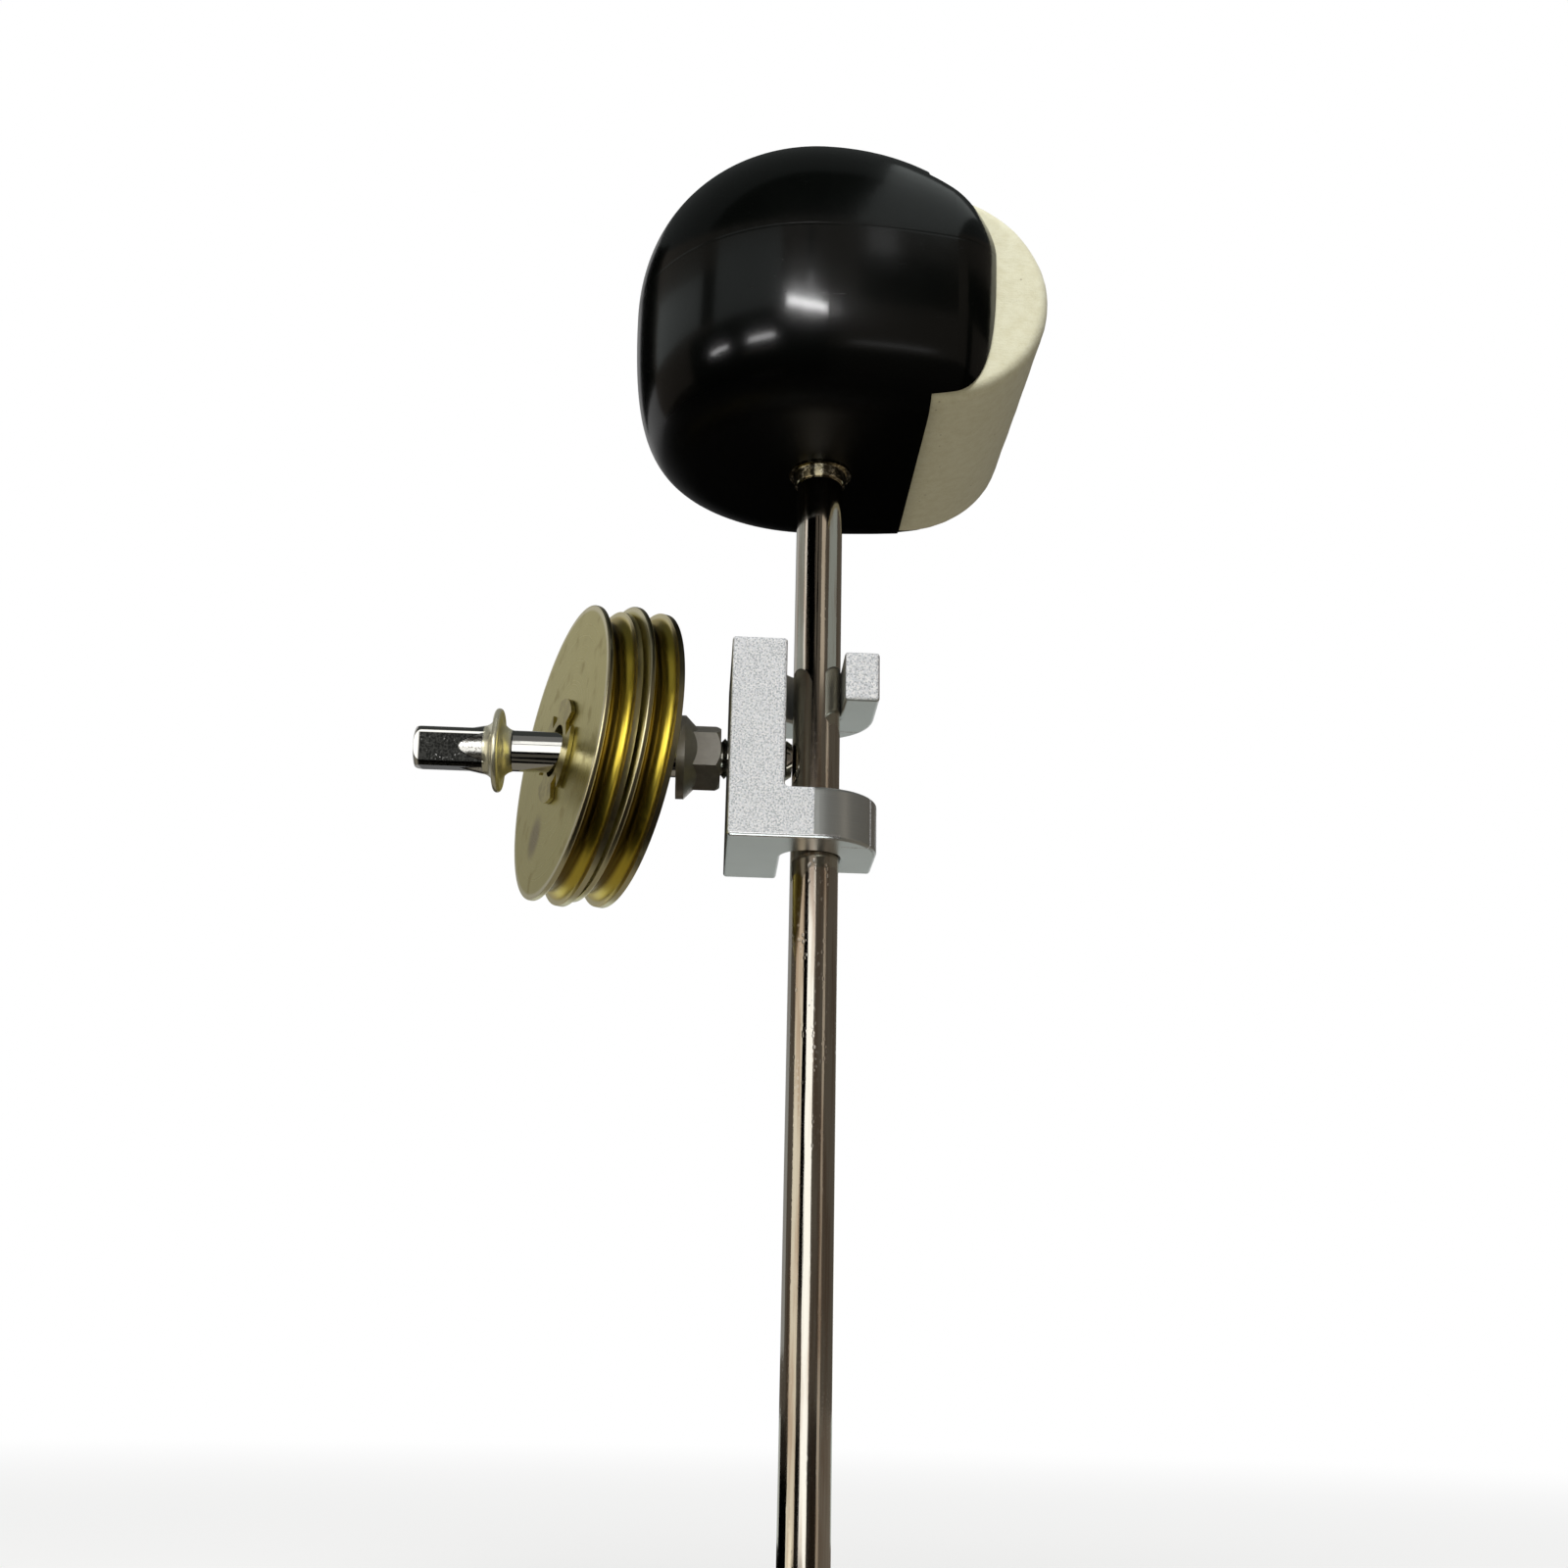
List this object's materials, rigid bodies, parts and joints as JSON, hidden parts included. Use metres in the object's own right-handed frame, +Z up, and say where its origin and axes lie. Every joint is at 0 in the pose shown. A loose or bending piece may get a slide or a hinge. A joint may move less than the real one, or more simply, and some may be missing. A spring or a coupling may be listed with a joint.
{
  "type": "bass drum beater",
  "caption": "Two-way bass drum beater: glossy black head with a half-round felt face on a plated rod, and a hooked rod clamp whose key screw carries loose cord sheaves.",
  "frame": {"origin": "centre of the rod's lower end face", "axes": "+Z up the rod to the head, +X from the key screw's square head towards the felt face, -Y towards the front"},
  "size_m": [0.0902, 0.0568, 0.227],
  "materials": {
    "shell": "polished black moulded plastic",
    "felt": "hard pressed cream felt",
    "rod_plating": "nickel plating on steel, a little worn",
    "ferrule_metal": "nickel-plated brass",
    "clamp_metal": "blasted front and back, machined elsewhere",
    "screw_plating": "chrome plating on steel",
    "nut_metal": "dull zinc plating",
    "sheave_metal": "yellow passivated pressed steel",
    "bush_metal": "dark passivated pressed steel"
  },
  "bodies": {
    "rod": {"rod": "rod_plating", "head_washer": "nut_metal", "head_lock_washer": "nut_metal", "head_nut": "nut_metal"},
    "head": {"head_body": "shell", "head_cap": "shell", "felt_pad": "felt", "rod_ferrule": "ferrule_metal"},
    "clamp": {"rod_clamp": "clamp_metal"},
    "hubs": {"outer_hub_bush": "bush_metal", "inner_hub_bush": "bush_metal"},
    "screw": {"key_screw": "screw_plating", "flange_nut": "nut_metal"},
    "outer_sheave": {"outer_disc": "sheave_metal", "outer_groove_pan": "sheave_metal"},
    "inner_sheave": {"inner_disc": "sheave_metal", "inner_groove_pan": "sheave_metal"}
  },
  "joints": [
    {"name": "head_turn", "type": "hinge", "parent": "rod", "child": "head", "pos_m": [0, 0, 0.1754], "axis": [0, 0, 1], "continuous": true},
    {"name": "clamp_slide", "type": "slide", "parent": "rod", "child": "clamp", "axis": [0, 0, 1], "range_m": [-0.06, 0.022]},
    {"name": "screw_feed", "type": "slide", "parent": "clamp", "child": "hubs", "axis": [-1, 0, 0], "range_m": [0, 0.004]},
    {"name": "screw_turn", "type": "hinge", "parent": "hubs", "child": "screw", "pos_m": [0, 0, 0.128], "axis": [-1, 0, 0], "range_deg": [-18, 1458]},
    {"name": "outer_spin", "type": "hinge", "parent": "hubs", "child": "outer_sheave", "pos_m": [-0.0368, 0, 0.128], "axis": [0.9368, 0.341, -0.0785], "continuous": true},
    {"name": "inner_spin", "type": "hinge", "parent": "hubs", "child": "inner_sheave", "pos_m": [-0.03104, 0, 0.128], "axis": [0.9368, 0.341, -0.0785], "continuous": true}
  ],
  "couplings": [
    {"joint": "screw_turn", "follows": "screw_feed", "rad_per_m": 6283.2}
  ]
}
